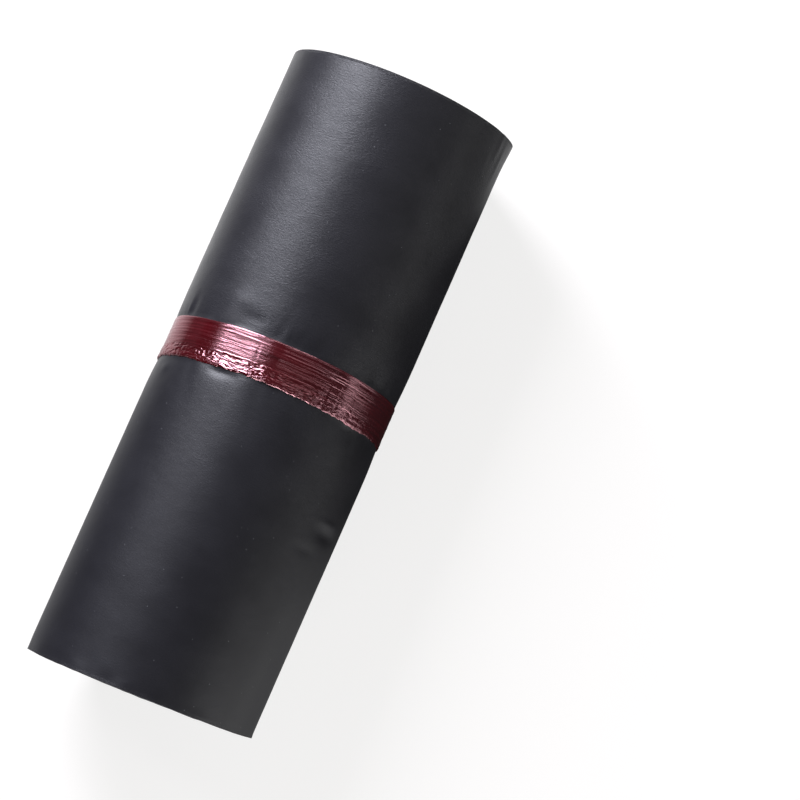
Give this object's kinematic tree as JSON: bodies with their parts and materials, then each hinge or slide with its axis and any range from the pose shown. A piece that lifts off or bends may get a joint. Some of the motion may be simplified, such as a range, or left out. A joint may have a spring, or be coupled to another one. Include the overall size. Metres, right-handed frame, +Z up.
{
  "type": "poly mailer bag roll",
  "caption": "Roll of flat black poly mailer bags, folded and rolled on itself, bound round the middle with thin red tearing film. It lies on its two folded lobes.",
  "frame": {"origin": "middle of the roll's bounding box on the surface that it lies on", "axes": "+X along the roll, +Z up, +Y towards the smaller of the two lobes"},
  "size_m": [0.2875, 0.1025, 0.097],
  "materials": {
    "black_film": "black polyethylene film with a soft satin sheen and a fine crinkle",
    "red_film": "thin glossy crimson tearing film, gathered into strands, slightly see-through at its loose edge",
    "liner_film": "thin crinkled clear to white release film"
  },
  "bodies": {
    "root": {"mailer_roll": "black_film", "binding_film": "red_film", "release_liner_1": "liner_film", "release_liner_2": "liner_film", "release_liner_3": "liner_film", "release_liner_4": "liner_film"}
  },
  "joints": []
}
